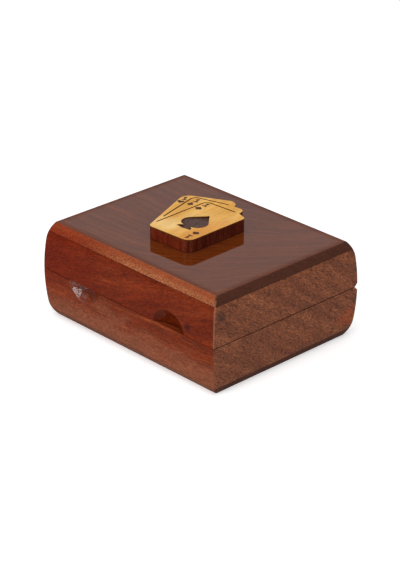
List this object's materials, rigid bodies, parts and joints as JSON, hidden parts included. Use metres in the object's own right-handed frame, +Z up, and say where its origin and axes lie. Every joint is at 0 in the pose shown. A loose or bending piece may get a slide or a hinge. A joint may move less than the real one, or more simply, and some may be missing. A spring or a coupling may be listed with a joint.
{
  "type": "playing card box",
  "caption": "Bowed hardwood box with a hinged lid, two felt-lined wells for card packs, finger scoops across the seam and a raised fan of cards on top.",
  "frame": {"origin": "middle of the footprint on the underside of the box", "axes": "+X to the right along the front, the front faces -Y and the hinges lie towards +Y, +Z up"},
  "size_m": [0.1608, 0.1294, 0.076],
  "materials": {
    "lacquered_rosewood": "gloss lacquer",
    "lacquered_top": "high gloss lacquer",
    "dark_plaque_wood": "gloss lacquer",
    "golden_maple": "gloss lacquer",
    "dark_spade_wood": "gloss lacquer",
    "divider_wood": "satin lacquer",
    "brass": "satin",
    "green_felt": "matt"
  },
  "bodies": {
    "base": {"bottom_board": "lacquered_rosewood", "base_front_wall": "lacquered_rosewood", "base_back_wall": "lacquered_rosewood", "base_left_wall": "lacquered_rosewood", "base_right_wall": "lacquered_rosewood", "card_divider": "divider_wood", "left_well_felt": "green_felt", "right_well_felt": "green_felt", "left_hinge_base_leaf": "brass", "right_hinge_base_leaf": "brass", "left_hinge_pin": "brass", "right_hinge_pin": "brass", "base_hinge_screws": "brass"},
    "lid": {"top_board": "lacquered_top", "lid_front_wall": "lacquered_rosewood", "lid_back_wall": "lacquered_rosewood", "lid_left_wall": "lacquered_rosewood", "lid_right_wall": "lacquered_rosewood", "card_fan_block": "dark_plaque_wood", "card_fan_face": "golden_maple", "spade_inlay": "dark_spade_wood", "left_hinge_lid_leaf": "brass", "right_hinge_lid_leaf": "brass", "lid_hinge_screws": "brass"}
  },
  "joints": [
    {"name": "lid_hinge", "type": "hinge", "parent": "base", "child": "lid", "pos_m": [0, 0.0622, 0.03485], "axis": [-1, 0, 0], "range_deg": [0, 95]}
  ]
}
